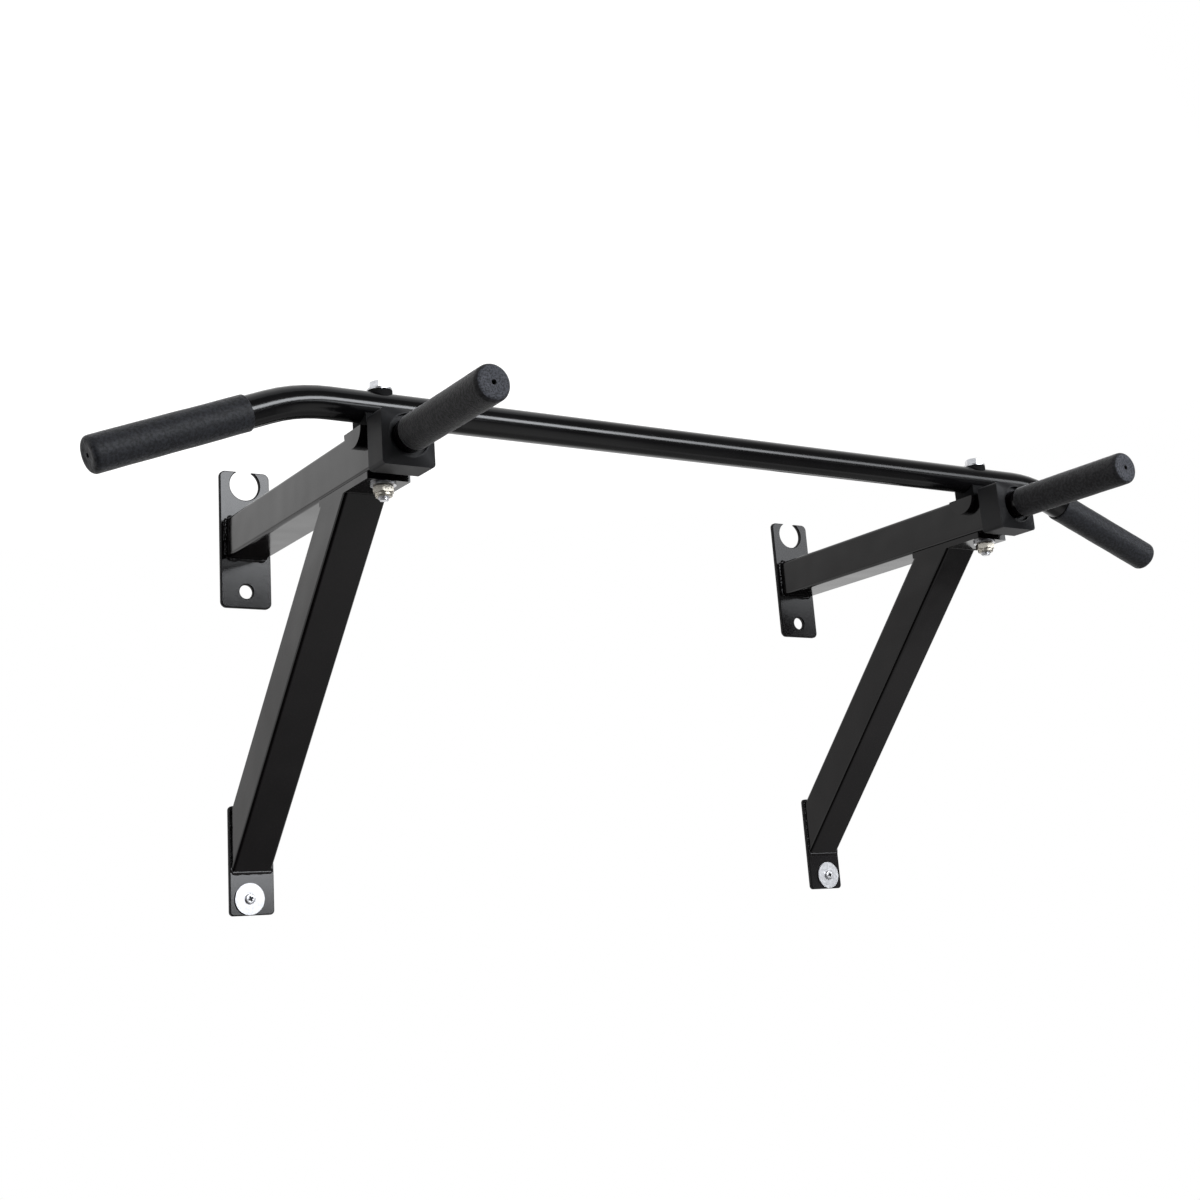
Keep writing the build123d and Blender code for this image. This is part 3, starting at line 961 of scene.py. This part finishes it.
def studio_world(context):
    """A white backdrop to look at, bright behind the bar and dimmer in the room in front of it."""
    world = bpy.data.worlds.new("studio")
    context.scene.world = world
    graph = Graph(world)
    right, ahead, up = graph.axes(graph.add("ShaderNodeTexCoord", output="Generated"))
    behind = (ahead + right * 0.1).step(-0.4, 1.0)
    rising = (up * 4.7 - 0.33).at_least(0.48).at_most(1.0)
    room = 0.09 + behind * rising * 1.15 * (1 - graph.ray("Diffuse") * 0.3)
    warm = graph.blend(rising, (1.0, 0.985, 0.975, 1), WHITE)
    seen = graph.ray("Camera")
    strength = seen.at_least(graph.ray("Transmission")).at_least(room)
    tint = graph.blend(seen, warm, WHITE)
    light = graph.add("ShaderNodeBackground", {}, {"Color": tint, "Strength": strength})
    graph.add("ShaderNodeOutputWorld", {}, {"Surface": light})


def painted_floor_reflection(graph, place):
    """Painted reflection: how bright gloss sees the floor, white behind the plane of the wall and grey in
    front of it.

    The grey is brightest about a metre in front. It fades to the left, towards the viewer and close to
    the wall, and it drops at the far right.
    """
    right, back, _ = graph.axes(place)
    behind = back.step(0.2, 2.5)
    rightward = (right * 0.35 + 0.33).at_most(0.5)
    near = back.step(-6.0, -1.0) * 0.55 + 0.4
    far_right = (right + back * 0.35).step(0.7, 1.15) * (1 - back.step(-1.0, -0.7))
    close = back.step(-0.9, -0.1)
    front = rightward * near * (1 - far_right * 0.75) * (1 - close * 0.5)
    return behind.at_least(front).at_most(1.0)


def pale_floor(context, drop):
    """A plain pale floor that keeps the bar's shadow, and melts into the backdrop further away. In gloss it
    shows a painted reflection: its colour drops near black and a shaped white glow lies over it.
    """
    mesh = bmesh.new()
    bmesh.ops.create_grid(
        mesh, x_segments=8, y_segments=8, size=40, matrix=Matrix.Translation((0, 0, -drop))
    )
    material, graph, place = new_finish("pale_floor")
    paper = graph.cloud(place, 300 * MM, detail=2)
    tint = graph.blend(paper, (0.44, 0.44, 0.435, 1), (0.46, 0.46, 0.455, 1))
    mirrored = graph.ray("Glossy")
    # Painted reflection: gloss sees the floor's colour near black, under the shaped white glow mixed in
    # below.
    shade = graph.blend(mirrored, tint, (0.02, 0.02, 0.02, 1))
    lit = graph.add("ShaderNodeBsdfDiffuse", {}, {"Color": shade})
    white = graph.add("ShaderNodeEmission", {}, {"Color": WHITE, "Strength": 1.0})
    away = graph.add("ShaderNodeVectorMath", {"operation": "LENGTH"}, {0: place}, output="Value")
    fade = away.step(1.2 * drop, 2.4 * drop) * 0.14 + 0.86
    # Painted reflection: glossy rays see the white glow in the shaped zones.
    mask = graph.ray("Camera") * fade + mirrored * painted_floor_reflection(graph, place)
    shown = graph.add("ShaderNodeMixShader", {}, {0: mask, 1: lit, 2: white})
    graph.add("ShaderNodeOutputMaterial", {}, {"Surface": shown})
    as_object(mesh, "floor", [material])


def area_light(name, place, turn, size, power, fills=True):
    """A rectangular soft light that the camera doesn't see, and that only shows in gloss unless it fills."""
    data = bpy.data.lights.new(name, "AREA")
    data.shape = "RECTANGLE"
    data.size, data.size_y = size
    data.energy = power
    data.color = (0.94, 0.965, 1.0)
    light = in_scene(name, data)
    light.location = place
    light.rotation_euler = turn
    light.visible_camera = False
    light.visible_diffuse = fills


def power_of(radiance, size):
    """The power of a rectangular light that looks as bright as this radiance."""
    return radiance * math.pi * size[0] * size[1]


def front_lights():
    """Soft lights far in front of the wall that face it, side by side, so that none hides another."""
    for name, across, up, radiance in FRONT_LIGHTS:
        size = (across[1] - across[0], up[1] - up[0])
        place = (sum(across) / 2, FRONT_LIGHT_Y, sum(up) / 2)
        area_light(name, place, (math.pi / 2, 0, 0), size, power_of(radiance, size))


def ceiling():
    """A wide soft light overhead."""
    area_light("ceiling", place=(0, -0.5, 2.8), turn=(0, 0, 0), size=(3.0, 2.0), power=7)


def side_card():
    """A card to the left that only gloss mirrors."""
    size = (1.3, 2.6)
    turn = (0, -math.pi / 2, 0)
    area_light("side_card", (-3.2, -0.9, 0.95), turn, size, power_of(1.1, size), fills=False)


def front_camera(context, stage):
    """The camera, looking up at the bar from below and to its left."""
    turn, rise, roll = stage.camera_turn, stage.camera_rise, stage.camera_roll
    forward = Vector((math.sin(turn) * math.cos(rise), math.cos(turn) * math.cos(rise), math.sin(rise)))
    level = forward.cross(Vector((0, 0, 1))).normalized()
    down = forward.cross(level)
    right = math.cos(roll) * level + math.sin(roll) * down
    up = right.cross(forward)
    data = bpy.data.cameras.new("camera")
    data.sensor_width = 36
    data.lens = stage.lens
    data.shift_x, data.shift_y = stage.shift
    data.clip_end = 200
    camera = in_scene("camera", data)
    facing = Matrix((right, up, -forward)).transposed().to_4x4()
    camera.matrix_world = Matrix.Translation(stage.camera_place) @ facing
    context.scene.camera = camera


class PULLUP_OT_stage(bpy.types.Operator):
    """Camera, pale floor, white backdrop and soft studio lights"""

    bl_idname = "pullup.stage"
    bl_label = "Stage"

    def execute(self, context):
        stage = chosen(context).stage
        context.scene.view_settings.view_transform = "Standard"
        front_camera(context, stage)
        studio_world(context)
        pale_floor(context, stage.floor_drop)
        front_lights()
        ceiling()
        side_card()
        return {"FINISHED"}


# ---------------------------------------------------------------- panel and registration


STEPS = (
    PULLUP_OT_stage, PULLUP_OT_steel, PULLUP_OT_welds,
    PULLUP_OT_trim, PULLUP_OT_fasteners, PULLUP_OT_foam,
)


class PULLUP_PT_panel(bpy.types.Panel):
    """The pull up bar's pieces and their settings, in the sidebar"""

    bl_idname = "PULLUP_PT_panel"
    bl_label = "Pull Up Bar"
    bl_space_type = "VIEW_3D"
    bl_region_type = "UI"
    bl_category = "Pull Up Bar"

    def draw(self, context):
        layout = self.layout
        for step in STEPS:
            layout.operator(step.bl_idname)
        settings = chosen(context)
        for group in settings.bl_rna.properties:
            if group.type == "POINTER" and group.identifier != "rna_type":
                box = layout.box()
                values = getattr(settings, group.identifier)
                for value in values.bl_rna.properties:
                    if value.identifier not in ("rna_type", "name"):
                        box.prop(values, value.identifier)


CLASSES = (
    PaintSettings, FoamSettings, TrimSettings, ZincSettings, WeldSettings, StageSettings, PullUpBarSettings,
    *STEPS, PULLUP_PT_panel,
)


def register():
    for part in CLASSES:
        bpy.utils.register_class(part)
    bpy.types.Scene.pull_up_bar = PointerProperty(type=PullUpBarSettings)


def unregister():
    del bpy.types.Scene.pull_up_bar
    for part in reversed(CLASSES):
        bpy.utils.unregister_class(part)


def main():
    """Makes every piece."""
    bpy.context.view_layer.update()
    register()
    for step in STEPS:
        area, action = step.bl_idname.split(".")
        getattr(getattr(bpy.ops, area), action)()


if __name__ == "__main__":
    main()
